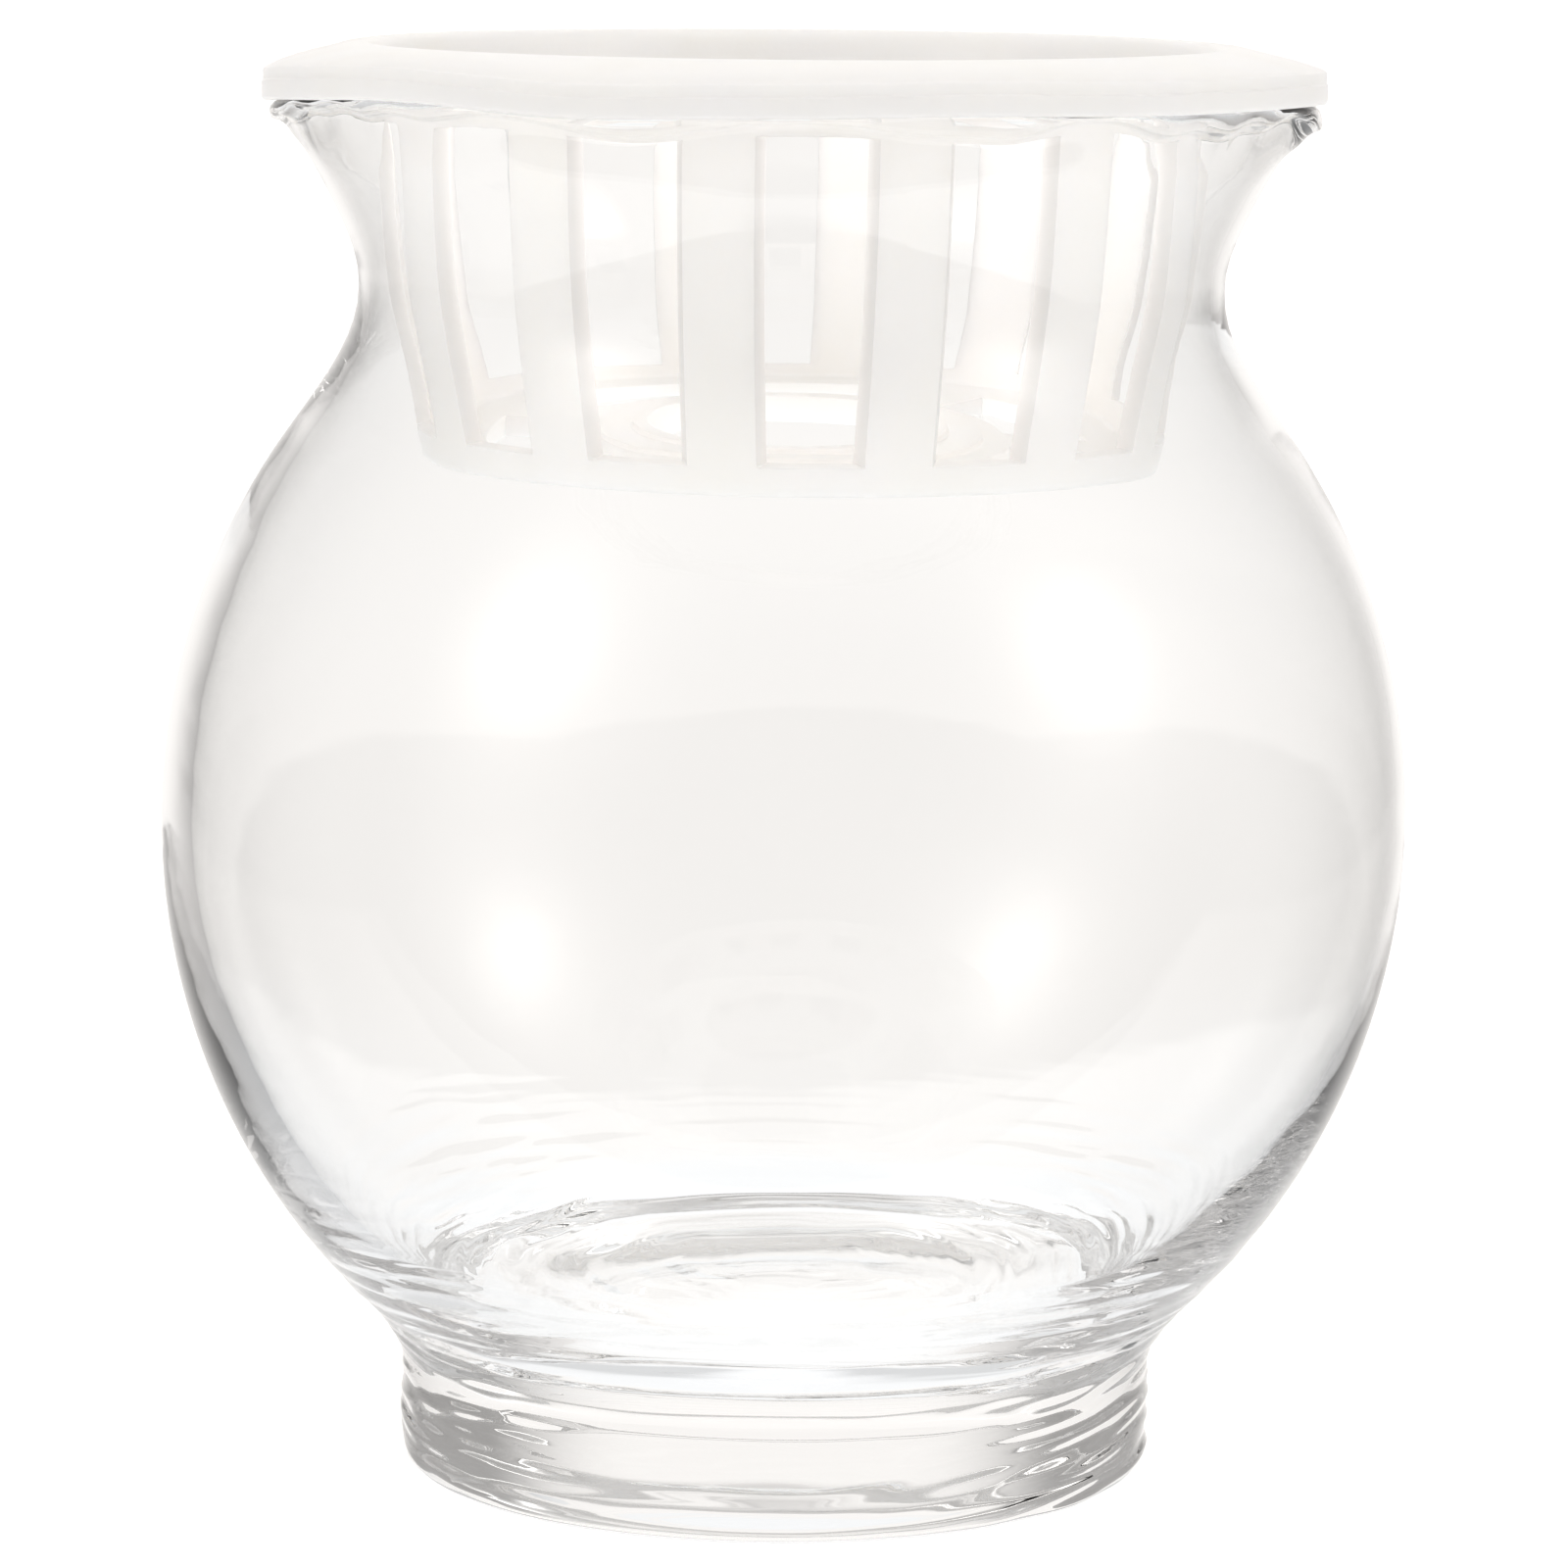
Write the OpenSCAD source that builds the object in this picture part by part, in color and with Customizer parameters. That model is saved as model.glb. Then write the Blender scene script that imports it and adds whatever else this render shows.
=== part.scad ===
// Stem holder (flower frog) for a footed globe vase, with the vase that it belongs to.
// A moulded basket hangs by its flange on the flared lip of a blown glass vase. Stems go down
// through the basket's mouth, and its ribs and its pierced floor hold them upright.
// Millimetres, +Z up. The origin is the middle of the ring that the foot stands on.

/* [Vase] */
// Radius of the globe at its widest
globe_r = 56.9; // [54:0.1:60]
// Height of the globe's widest circle
globe_z = 59.5; // [58:0.1:61]
// Half of the height of the globe's ellipse
globe_half_h = 59.3; // [58:0.1:61]
// Radius of the narrowest part of the neck
waist_r = 39.2; // [38.8:0.1:41]
// Height of the narrowest part of the neck
waist_z = 108; // [106:0.1:109]
// Radius of the foot
foot_r = 34.5; // [32:0.1:36]
// Height of the foot's straight wall
foot_wall_h = 9.5; // [8:0.1:10]
// Radius of the recess under the foot
foot_recess_r = 27; // [22:0.1:30]
// Depth of the recess under the foot at its middle
foot_recess_h = 1.2; // [0.6:0.1:2]
// Radius of the flared lip at its outermost
lip_r = 47.3; // [46.8:0.1:47.4]
// Thickness of the fire-polished lip
lip_t = 1.2; // [1.1:0.1:1.4]
// Thickness of the glass at the neck
neck_wall = 1.1; // [0.9:0.1:1.3]
// Thickness of the glass at the globe's widest circle
globe_wall = 1.8; // [1.4:0.1:2.4]
// Height of the inside bottom above the table
cavity_z = 14; // [12:0.1:16]
// Radius of the flat part of the inside bottom
cavity_flat_r = 20; // [16:0.5:22]

/* [Basket] */
// Overall height, at the crown of the basket's flange
overall_h = 130; // [129.5:0.1:131]
// Radius of the flange's skirt
flange_r = 48; // [47.9:0.1:50]
// Radius of the basket's mouth
mouth_r = 38.5; // [38.3:0.1:39.5]
// Wall thickness of the moulding
wall_t = 1.3; // [1:0.05:1.4]
// Outer radius of the cup just under the flange
cup_top_r = 37.7; // [37:0.1:37.8]
// Outer radius of the cup at its bottom
cup_bottom_r = 33.4; // [31:0.1:33.8]
// How far the cup's wall bulges out beyond a straight cone at its middle
cup_bulge = 1.1; // [0.6:0.1:1.2]
// Height of the cup's bottom above the table
cup_bottom_z = 92; // [86:0.1:94]
// Thickness of the floor
floor_t = 1.2; // [1:0.05:1.5]

/* [Windows and drain holes] */
// Number of ribs, and of windows between them
rib_count = 14; // [10:1:14]
// Angle of the first rib, anticlockwise from the right as seen from above
first_rib_angle = 260.2; // [245:0.1:275]
// Height of the windows' lower edges
window_bottom_z = 94.6; // [94.5:0.1:97]
// Height of the windows' upper edges
window_top_z = 123.6; // [121:0.1:124]
// Width of a rib's outer face at the top
rib_top_w = 6.3; // [5:0.1:7]
// Width of a rib's outer face at the bottom
rib_bottom_w = 6; // [5:0.1:7]
// How much each window's side slopes inward through the wall
window_draft = 0.7; // [0.3:0.05:0.8]
// Radius of the round hole in the middle of the floor
floor_hole_r = 13; // [10:0.1:14]
// Width of the low collar round that hole
floor_collar_w = 1.4; // [1:0.1:2]
// Height of the collar above the floor
floor_collar_h = 0.7; // [0.4:0.1:1]
// Number of curved drain slots
slot_count = 7; // [4:1:8]
// Inner radius of the drain slots
slot_inner_r = 20; // [18:0.1:21]
// Outer radius of the drain slots
slot_outer_r = 27.6; // [25:0.1:28]
// Width of the spokes between drain slots
spoke_w = 6; // [4:0.1:8]

/* [Hidden] */
$fn = 96;

// Gap between the basket's skirt and the lip that it rests on
seat_gap = 0.05;
// Segments in each curve of an outline
curve_steps = 12;
// Overshoot of a cutter past the face that it cuts
over = 1;

// Lip: a half-round bead that turns the neck's flare outward at its end
lip_bead_r = lip_t / 2;
lip_top_z = overall_h - 4.75;
lip_bead_z = lip_top_z - lip_bead_r;
lip_bead_x = lip_r - lip_bead_r;

// Foot
foot_edge_w = 0.9;
foot_edge_h = 2;

// Globe: where its ellipse hands over to the foot and to the neck
globe_low_z = 16;
globe_high_z = 95;
cavity_r = globe_r - globe_wall;
cavity_half_h = globe_half_h - globe_wall;
cavity_low_half_h = 54;
cavity_low_z = 22;
// Rise of the inside bottom's middle above its flat's edge
cavity_crown = 0.6;

// Neck
neck_handle = 4.5;
flare_z = lip_top_z - 2.2;
flare_r = waist_r + 6.3;
flare_slope = 0.5;
neck_wall_slanted = neck_wall * sqrt(1 + pow(flare_slope, 2));

// Basket flange: a shallow dome that ends in a soft crease and an upright skirt
skirt_bottom_z = lip_top_z + seat_gap;
skirt_round = 0.4;
crease_z = overall_h - 1.7;
dome_edge_z = overall_h - 1.1;
dome_edge_r = flange_r - 0.8;
lead_in_w = 1.1;
lead_in_h = 1.7;
cup_top_z = overall_h - 3.2;
cup_h = cup_top_z - cup_bottom_z;
cup_bottom_round = 0.8;
cup_steps = 10;
step_z = skirt_bottom_z + 1.9;
step_w = 0.12;

// Windows
pitch_angle = 360 / rib_count;
window_steps = 4;

// A cubic curve from a to d that leaves towards b and arrives from c
function curve_point(a, b, c, d, t) =
    a * pow(1 - t, 3) + 3 * b * pow(1 - t, 2) * t + 3 * c * (1 - t) * pow(t, 2) + d * pow(t, 3);

function curve(a, b, c, d, steps = curve_steps) =
    [for (i = [0 : steps]) curve_point(a, b, c, d, i / steps)];

// The radius of an upright ellipse at height z, and how fast that radius grows with z
function ellipse_r(r, half_h, centre_z, z) = r * sqrt(1 - pow((z - centre_z) / half_h, 2));

function ellipse_slope(r, half_h, centre_z, z) =
    -pow(r / half_h, 2) * (z - centre_z) / ellipse_r(r, half_h, centre_z, z);

// Points on an upright ellipse, evenly spaced by angle between two heights
function ellipse_arc(r, half_h, centre_z, z0, z1, steps) =
    let (a0 = asin((z0 - centre_z) / half_h), a1 = asin((z1 - centre_z) / half_h))
    [for (i = [0 : steps]) let (a = a0 + (a1 - a0) * i / steps) [r * cos(a), centre_z + half_h * sin(a)]];

function circle_arc(x, z, r, a0, a1, steps) =
    [for (i = [0 : steps]) let (a = a0 + (a1 - a0) * i / steps) [x + r * cos(a), z + r * sin(a)]];

// The cup's outer wall, from t = 0 at its bottom to t = 1 under the flange: a shallow parabola
function cup_point(t) =
    [cup_bottom_r + (cup_top_r - cup_bottom_r) * t + 4 * cup_bulge * t * (1 - t), cup_bottom_z + cup_h * t];

// How much the wall leans outward at t, in degrees
function cup_lean(t) = atan((cup_top_r - cup_bottom_r + 4 * cup_bulge * (1 - 2 * t)) / cup_h);

// The same wall moved outward along its own normal by depth
function cup_offset(t, depth) = cup_point(t) + depth * [cos(cup_lean(t)), -sin(cup_lean(t))];

// The glass from the middle of its underside, up its outside and over the lip
function vase_outside() =
    let (
        low = [ellipse_r(globe_r, globe_half_h, globe_z, globe_low_z), globe_low_z],
        low_slope = ellipse_slope(globe_r, globe_half_h, globe_z, globe_low_z),
        corner = [foot_r, globe_low_z - (low[0] - foot_r) / low_slope],
        high = [ellipse_r(globe_r, globe_half_h, globe_z, globe_high_z), globe_high_z],
        high_slope = ellipse_slope(globe_r, globe_half_h, globe_z, globe_high_z),
        flare = [flare_r, flare_z],
        lip_start = [lip_bead_x, lip_bead_z - lip_bead_r]
    )
    concat(
        [for (i = [0 : 8]) [foot_recess_r * i / 8, foot_recess_h * (1 - pow(i / 8, 2))]],
        curve([foot_r - foot_edge_w, 0], [foot_r - foot_edge_w / 3, 0],
              [foot_r, foot_edge_h / 3], [foot_r, foot_edge_h], 6),
        curve([foot_r, foot_wall_h], (corner + [foot_r, foot_wall_h]) / 2, (corner + low) / 2, low, 8),
        ellipse_arc(globe_r, globe_half_h, globe_z, globe_low_z + 2, globe_high_z - 2, 40),
        curve(high, high + neck_handle * [high_slope, 1], [waist_r, waist_z - neck_handle],
              [waist_r, waist_z]),
        curve([waist_r, waist_z + 0.5], [waist_r, waist_z + neck_handle],
              flare - neck_handle * [flare_slope, 1], flare),
        curve(flare + 0.2 * [flare_slope, 1], flare + 0.6 * [flare_slope, 1],
              lip_start - [0.5, 0], lip_start - [0.1, 0], 6),
        circle_arc(lip_bead_x, lip_bead_z, lip_bead_r, -90, 90, 10)
    );

// The glass from the lip's top, down its inside to the middle of the cavity's floor
function vase_inside() =
    let (
        high = [ellipse_r(cavity_r, cavity_half_h, globe_z, globe_high_z), globe_high_z],
        high_slope = ellipse_slope(cavity_r, cavity_half_h, globe_z, globe_high_z),
        waist = [waist_r - neck_wall, waist_z],
        flare = [flare_r - neck_wall_slanted, flare_z],
        lip_end = [lip_bead_x - 0.1, lip_top_z],
        low = [ellipse_r(cavity_r, cavity_low_half_h, globe_z, cavity_low_z), cavity_low_z],
        low_slope = ellipse_slope(cavity_r, cavity_low_half_h, globe_z, cavity_low_z),
        flat = [cavity_flat_r, cavity_z]
    )
    concat(
        curve(lip_end, lip_end - [1, 0], flare + 1.2 * [flare_slope, 1], flare + 0.2 * [flare_slope, 1], 8),
        curve(flare, flare - neck_handle * [flare_slope, 1], waist + [0, neck_handle], waist + [0, 0.5]),
        curve(waist, waist - [0, neck_handle], high + neck_handle * [high_slope, 1], high),
        ellipse_arc(cavity_r, cavity_half_h, globe_z, globe_high_z - 2, globe_z, 20),
        ellipse_arc(cavity_r, cavity_low_half_h, globe_z, globe_z - 2, cavity_low_z + 1, 20),
        curve(low, low - 8 * [low_slope, 1], flat + [9, 0], flat),
        [for (i = [5 : -1 : 0]) [cavity_flat_r * i / 6, cavity_z + cavity_crown * (1 - pow(i / 6, 2))]]
    );

module glass_vase() {
    color([0.85, 0.88, 0.88, 0.35])
        rotate_extrude()
            polygon(concat(vase_outside(), vase_inside()));
}

// Half of the basket's section: flange, skirt, cup wall and floor, before the holes are cut
function basket_section() =
    let (
        bead = skirt_round,
        inner_floor_z = cup_bottom_z + floor_t,
        inner_floor_r = cup_offset(floor_t / cup_h, -wall_t)[0]
    )
    concat(
        [[0, cup_bottom_z]],
        circle_arc(cup_bottom_r - cup_bottom_round, cup_bottom_z + cup_bottom_round,
                   cup_bottom_round, -90, 0, 4),
        [for (i = [1 : cup_steps - 1]) cup_point(i / cup_steps)],
        curve([cup_top_r, cup_top_z], [cup_top_r + 0.1, cup_top_z + 1],
              [mouth_r + 0.4, overall_h - wall_t - 0.2], [mouth_r + 1.8, overall_h - wall_t - 0.2], 5),
        curve([flange_r - 5, overall_h - wall_t - 0.7], [flange_r - 3, overall_h - wall_t - 0.9],
              [flange_r - wall_t, crease_z - 0.5], [flange_r - wall_t, crease_z - 1.1], 5),
        circle_arc(flange_r - wall_t + bead, skirt_bottom_z + bead, bead, 180, 270, 4),
        circle_arc(flange_r - bead, skirt_bottom_z + bead, bead, 270, 360, 4),
        [[flange_r, step_z - step_w], [flange_r - step_w, step_z], [flange_r - step_w, crease_z]],
        curve([flange_r - step_w, crease_z + 0.1], [flange_r - 0.2, crease_z + 0.35],
              [dome_edge_r + 0.4, dome_edge_z - 0.15], [dome_edge_r, dome_edge_z], 5),
        curve([dome_edge_r - 1.2, dome_edge_z + 0.3], [dome_edge_r - 3.6, overall_h - 0.6],
              [mouth_r + 2.6, overall_h - 0.1], [mouth_r + 0.6, overall_h], 6),
        curve([mouth_r, overall_h], [mouth_r - lead_in_w * 0.7, overall_h],
              [mouth_r - lead_in_w, overall_h - 0.6], [mouth_r - lead_in_w, overall_h - lead_in_h], 5),
        [for (i = [cup_steps : -1 : 1]) cup_offset(i / cup_steps, -wall_t)],
        [[inner_floor_r, inner_floor_z], [0, inner_floor_z]]
    );

// A collar and a low step round the middle of the floor
module floor_rings() {
    translate([0, 0, cup_bottom_z + floor_t / 2])
        cylinder(r = floor_hole_r + floor_collar_w, h = floor_t / 2 + floor_collar_h);
    translate([0, 0, cup_bottom_z + floor_t / 2])
        cylinder(r = (floor_hole_r + slot_inner_r) / 2 + 1, h = floor_t / 2 + floor_collar_h / 2);
}

// One side's point of a window's cutter at height z and depth from the cup's outer face
function window_point(z, depth, side) =
    let (
        t = (z - cup_bottom_z) / cup_h,
        up = (z - window_bottom_z) / (window_top_z - window_bottom_z),
        rib_w = rib_bottom_w + (rib_top_w - rib_bottom_w) * up,
        half_w = (2 * PI * cup_point(t)[0] / rib_count - rib_w) / 2 + depth * window_draft / wall_t,
        place = cup_offset(t, depth)
    )
    [place[0], side * half_w, place[1]];

// The four corners of the cutter at one height: two inside the cup, then two outside it
function window_ring(z) = [
    window_point(z, -2 * wall_t, -1), window_point(z, -2 * wall_t, 1),
    window_point(z, wall_t, 1), window_point(z, wall_t, -1)
];

// One window: an opening square to the wall, wider outside than inside
module window_cutter() {
    rings = [for (i = [0 : window_steps])
        window_ring(window_bottom_z + (window_top_z - window_bottom_z) * i / window_steps)];
    last = 4 * window_steps;
    polyhedron(
        points = [for (ring = rings) each ring],
        faces = concat(
            [[3, 2, 1, 0], [last, last + 1, last + 2, last + 3]],
            [for (i = [0 : window_steps - 1]) for (k = [0 : 3]) each [
                [4 * i + k, 4 * i + (k + 1) % 4, 4 * i + 4 + k],
                [4 * i + 4 + k, 4 * i + (k + 1) % 4, 4 * i + 4 + (k + 1) % 4]
            ]]
        )
    );
}

// A ring sector from slot_inner_r to slot_outer_r, less the spokes beside it
module drain_slots() {
    translate([0, 0, cup_bottom_z - over])
        difference() {
            cylinder(r = slot_outer_r, h = floor_t + 2 * over);
            translate([0, 0, -over])
                cylinder(r = slot_inner_r, h = floor_t + 4 * over);
            for (i = [0 : slot_count - 1])
                rotate([0, 0, first_rib_angle + i * 360 / slot_count])
                    translate([0, -spoke_w / 2, -over])
                        cube([slot_outer_r + over, spoke_w, floor_t + 4 * over]);
        }
}

module planting_basket() {
    color([0.94, 0.93, 0.91, 0.9])
        difference() {
            union() {
                rotate_extrude()
                    polygon(basket_section());
                floor_rings();
            }
            translate([0, 0, cup_bottom_z - over])
                cylinder(r = floor_hole_r, h = floor_t + floor_collar_h + 2 * over);
            drain_slots();
            for (i = [0 : rib_count - 1])
                rotate([0, 0, first_rib_angle + (i + 0.5) * pitch_angle])
                    window_cutter();
        }
}

glass_vase();
planting_basket();
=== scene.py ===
import math

import bmesh
import bpy
import numpy as np
from mathutils import Matrix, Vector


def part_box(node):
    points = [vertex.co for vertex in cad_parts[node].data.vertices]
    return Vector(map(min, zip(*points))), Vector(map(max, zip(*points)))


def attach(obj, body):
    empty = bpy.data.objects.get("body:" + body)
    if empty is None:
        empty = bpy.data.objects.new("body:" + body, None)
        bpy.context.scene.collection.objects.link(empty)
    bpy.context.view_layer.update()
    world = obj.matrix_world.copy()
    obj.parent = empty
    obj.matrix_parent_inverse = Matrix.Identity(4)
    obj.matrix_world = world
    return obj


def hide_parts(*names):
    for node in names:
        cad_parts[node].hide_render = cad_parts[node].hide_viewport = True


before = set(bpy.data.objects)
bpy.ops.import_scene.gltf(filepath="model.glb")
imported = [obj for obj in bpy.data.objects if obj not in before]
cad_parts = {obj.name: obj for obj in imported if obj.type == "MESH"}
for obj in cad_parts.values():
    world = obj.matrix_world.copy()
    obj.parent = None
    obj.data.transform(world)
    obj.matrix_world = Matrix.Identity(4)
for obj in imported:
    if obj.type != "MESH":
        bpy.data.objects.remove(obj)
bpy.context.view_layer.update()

# The looks of a stem basket hanging in a footed globe vase. Outlines are in millimetres and are
# scaled to metres as each mesh is made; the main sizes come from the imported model.
MM = 0.001
vase_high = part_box("glass_vase")[1]
basket_low, basket_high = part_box("planting_basket")

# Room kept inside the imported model's box, because the vase leans and the flange is warped
SIDE_ROOM, TOP_ROOM = 0.04, 0.01

OVERALL_H = basket_high.z / MM
GLOBE_R = vase_high.y / MM - SIDE_ROOM
LIP_TOP = vase_high.z / MM
CUP_BOTTOM = basket_low.z / MM
FLANGE_R = basket_high.x / MM
LEAN = math.tan(math.radians(0.4))


# ---------------------------------------------------------------- curves

def curve(a, b, c, d, steps):
    """Points on a cubic curve from a to d that leaves towards b and arrives from c."""
    a, b, c, d = (np.array(p, float) for p in (a, b, c, d))
    t = np.linspace(0, 1, steps + 1)[:, None]
    return a * (1 - t) ** 3 + 3 * b * (1 - t) ** 2 * t + 3 * c * (1 - t) * t ** 2 + d * t ** 3


def circle_arc(x, z, r, degrees0, degrees1, steps):
    a = np.radians(np.linspace(degrees0, degrees1, steps + 1))
    return np.stack([x + r * np.cos(a), z + r * np.sin(a)], 1)


def smoothstep(low, high, x):
    t = np.clip((x - low) / (high - low), 0, 1)
    return t * t * (3 - 2 * t)


def azimuth_of(points):
    """Degrees round from the front, positive to the right."""
    return np.degrees(np.arctan2(points[:, 0], -points[:, 1]))


def bumps(azimuth, places):
    """A sum of soft bumps round the rim; each place is (azimuth, half width, height) in degrees and mm."""
    total = np.zeros_like(azimuth)
    for centre, width, height in places:
        away = (azimuth - centre + 180) % 360 - 180
        total += height * np.exp(-((away / width) ** 2))
    return total


def new_object(name, points, faces, material):
    """A smooth-shaded object; its points are in mm."""
    mesh = bpy.data.meshes.new(name)
    mesh.from_pydata([tuple(p) for p in points * MM], [], faces)
    mesh.update()
    mesh.polygons.foreach_set("use_smooth", [True] * len(mesh.polygons))
    obj = bpy.data.objects.new(name, mesh)
    bpy.context.scene.collection.objects.link(obj)
    mesh.materials.append(material)
    return obj


# ---------------------------------------------------------------- camera

CAMERA_DISTANCE = 0.589
CAMERA_HEIGHT = 0.15085
CAMERA_PITCH = 8.536
CAMERA_ROLL = 0.5
CAMERA_LENS = 149.1


def make_camera():
    camera = bpy.data.objects.new("camera", bpy.data.cameras.new("camera"))
    bpy.context.scene.collection.objects.link(camera)
    camera.data.lens = CAMERA_LENS
    camera.data.sensor_width = 36
    camera.data.clip_end = 20
    camera.location = (0, -CAMERA_DISTANCE, CAMERA_HEIGHT)
    pitch = Matrix.Rotation(math.radians(90 - CAMERA_PITCH), 3, "X")
    roll = Matrix.Rotation(math.radians(CAMERA_ROLL), 3, "Z")
    camera.rotation_euler = (pitch @ roll).to_euler()
    return camera


# ---------------------------------------------------------------- glass vase

GLOBE_Z, GLOBE_HALF_H = 59.5, 59.3
GLOBE_LOW_Z, GLOBE_HIGH_Z = 16.0, 95.0
GLOBE_WALL, NECK_WALL = 1.8, 1.1
CAVITY_Z, CAVITY_FLAT_R, CAVITY_CROWN = 14.0, 20.0, 0.15
CAVITY_LOW_Z, CAVITY_LOW_HALF_H = 22.0, 54.0
WAIST_R, WAIST_Z = 39.2, 108.0
FOOT_R, FOOT_WALL_H, FOOT_BULGE = 34.5, 9.5, 0.15
FOOT_RECESS_R, FOOT_RECESS_H = 27.0, 1.2
FOOT_EDGE_W, FOOT_EDGE_H = 0.9, 2.0
LIP_R, LIP_T = 47.3, 1.2
BEAD_R = LIP_T / 2
BEAD = np.array([LIP_R - BEAD_R, LIP_TOP - BEAD_R])

# The flare rises along FLARE_WAY and ends at FLARE, where the lip begins
FLARE_SLOPE = 0.5
FLARE_WAY = np.array([FLARE_SLOPE, 1])
FLARE = np.array([WAIST_R + 6.3, LIP_TOP - 2.2])

# Length of most curves' handles, and the spaces left between stretches of the outline
HANDLE = 4.5
ARC_GAP, WAIST_GAP, FLARE_GAP = 1.2, 0.6, 0.2
SEGMENTS = 208


def globe_point(r, half_h, z):
    """The point at height z of an upright ellipse round the globe's centre, and its dr/dz there."""
    across = r * math.sqrt(1 - ((z - GLOBE_Z) / half_h) ** 2)
    return np.array([across, z]), -((r / half_h) ** 2) * (z - GLOBE_Z) / across


def globe_arc(r, half_h, z0, z1, steps):
    """Points on such an ellipse between two heights, evenly spaced by angle."""
    a = np.linspace(math.asin((z0 - GLOBE_Z) / half_h), math.asin((z1 - GLOBE_Z) / half_h), steps + 1)
    return np.stack([r * np.cos(a), GLOBE_Z + half_h * np.sin(a)], 1)


def outside_outline():
    """The glass from the middle of its underside, up the outside and over the lip."""
    low, low_slope = globe_point(GLOBE_R, GLOBE_HALF_H, GLOBE_LOW_Z)
    high, high_slope = globe_point(GLOBE_R, GLOBE_HALF_H, GLOBE_HIGH_Z)
    corner = np.array([FOOT_R, GLOBE_LOW_Z - (low[0] - FOOT_R) / low_slope])
    wall_top = np.array([FOOT_R, FOOT_WALL_H])
    waist = np.array([WAIST_R, WAIST_Z])
    recess = np.linspace(0, FOOT_RECESS_R, 12)
    edge_r = FOOT_R - FOOT_EDGE_W
    return np.concatenate([
        # the recess underneath, the ring that it stands on, its rounded edge and the foot's wall
        np.stack([recess, FOOT_RECESS_H * (1 - (recess / FOOT_RECESS_R) ** 2)], 1),
        curve((FOOT_RECESS_R + 1.5, 0), (FOOT_RECESS_R + 3, 0), (FOOT_R - 3, 0), (edge_r - 1, 0), 3),
        curve((edge_r, 0.02), (FOOT_R - FOOT_EDGE_W / 3, 0.02),
              (FOOT_R, FOOT_EDGE_H / 3), (FOOT_R, FOOT_EDGE_H), 8),
        curve((FOOT_R + 0.03, FOOT_EDGE_H + 1), (FOOT_R + FOOT_BULGE, FOOT_EDGE_H + 3),
              (FOOT_R + FOOT_BULGE, FOOT_WALL_H - 2.5), wall_top - (0, 0.6), 6),
        # the hollow between foot and globe, the globe, and the neck in to its waist and out again
        curve(wall_top, (corner + wall_top) / 2, (corner + low) / 2, low, 12),
        globe_arc(GLOBE_R, GLOBE_HALF_H, GLOBE_LOW_Z + ARC_GAP, GLOBE_HIGH_Z - ARC_GAP, 64),
        curve(high, high + HANDLE * np.array([high_slope, 1]), waist - (0, HANDLE), waist, 16),
        curve(waist + (0, WAIST_GAP), waist + (0, HANDLE), FLARE - HANDLE * FLARE_WAY, FLARE, 14),
        # the lip's underside and its round bead
        curve(FLARE + FLARE_GAP * FLARE_WAY, FLARE + 0.6 * FLARE_WAY,
              BEAD - (0.5, BEAD_R), BEAD - (0.1, BEAD_R), 8),
        circle_arc(BEAD[0], BEAD[1], BEAD_R, -90, 90, 14),
    ])


def inside_outline():
    """The glass from the lip down the inside to the middle of the inside bottom."""
    cavity_r = GLOBE_R - GLOBE_WALL
    cavity_half_h = GLOBE_HALF_H - GLOBE_WALL
    high, high_slope = globe_point(cavity_r, cavity_half_h, GLOBE_HIGH_Z)
    low, low_slope = globe_point(cavity_r, CAVITY_LOW_HALF_H, CAVITY_LOW_Z)
    lip_end = np.array([BEAD[0] - 0.1, LIP_TOP])
    flare = FLARE - (NECK_WALL * math.hypot(1, FLARE_SLOPE), 0)
    waist = np.array([WAIST_R - NECK_WALL, WAIST_Z])
    flat = np.array([CAVITY_FLAT_R, CAVITY_Z])
    floor_r = np.linspace(CAVITY_FLAT_R, 0, 20)[1:]
    return np.concatenate([
        # the lip's top, the flare, and the waist down to the globe
        curve(lip_end, lip_end - (1, 0), flare + 1.2 * FLARE_WAY, flare + FLARE_GAP * FLARE_WAY, 10),
        curve(flare, flare - HANDLE * FLARE_WAY, waist + (0, HANDLE), waist + (0, WAIST_GAP), 14),
        curve(waist, waist - (0, HANDLE), high + HANDLE * np.array([high_slope, 1]), high, 16),
        # the globe's upper and lower halves, and the sweep to the crowned inside bottom
        globe_arc(cavity_r, cavity_half_h, GLOBE_HIGH_Z - ARC_GAP, GLOBE_Z, 32),
        globe_arc(cavity_r, CAVITY_LOW_HALF_H, GLOBE_Z - 1.6, CAVITY_LOW_Z + 0.8, 40),
        curve(low, low - 8 * np.array([low_slope, 1]), flat + (9, 0), flat, 40),
        np.stack([floor_r, CAVITY_Z + CAVITY_CROWN * (1 - (floor_r / CAVITY_FLAT_R) ** 2)], 1),
    ])


def resampled(outline, spacing):
    """The same outline with its points set at the given spacing, a function of (r, z), along it."""
    steps = np.diff(outline, axis=0)
    middles = (outline[1:] + outline[:-1]) / 2
    count = np.hypot(steps[:, 0], steps[:, 1]) / spacing(middles[:, 0], middles[:, 1])
    along = np.concatenate([[0], np.cumsum(count)])
    places = np.linspace(0, along[-1], round(along[-1]) + 1)
    return np.stack([np.interp(places, along, outline[:, k]) for k in (0, 1)], 1)


# Spacing of the vase's rings, in mm, and the heights between which it changes
FINE, COARSE, LIP_FINE, UNDERSIDE = 0.3, 1.6, 0.4, 1.2
GLOBE_COARSENS, NECK_REFINES = (24, 34), (LIP_TOP - 8, LIP_TOP - 4)


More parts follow.
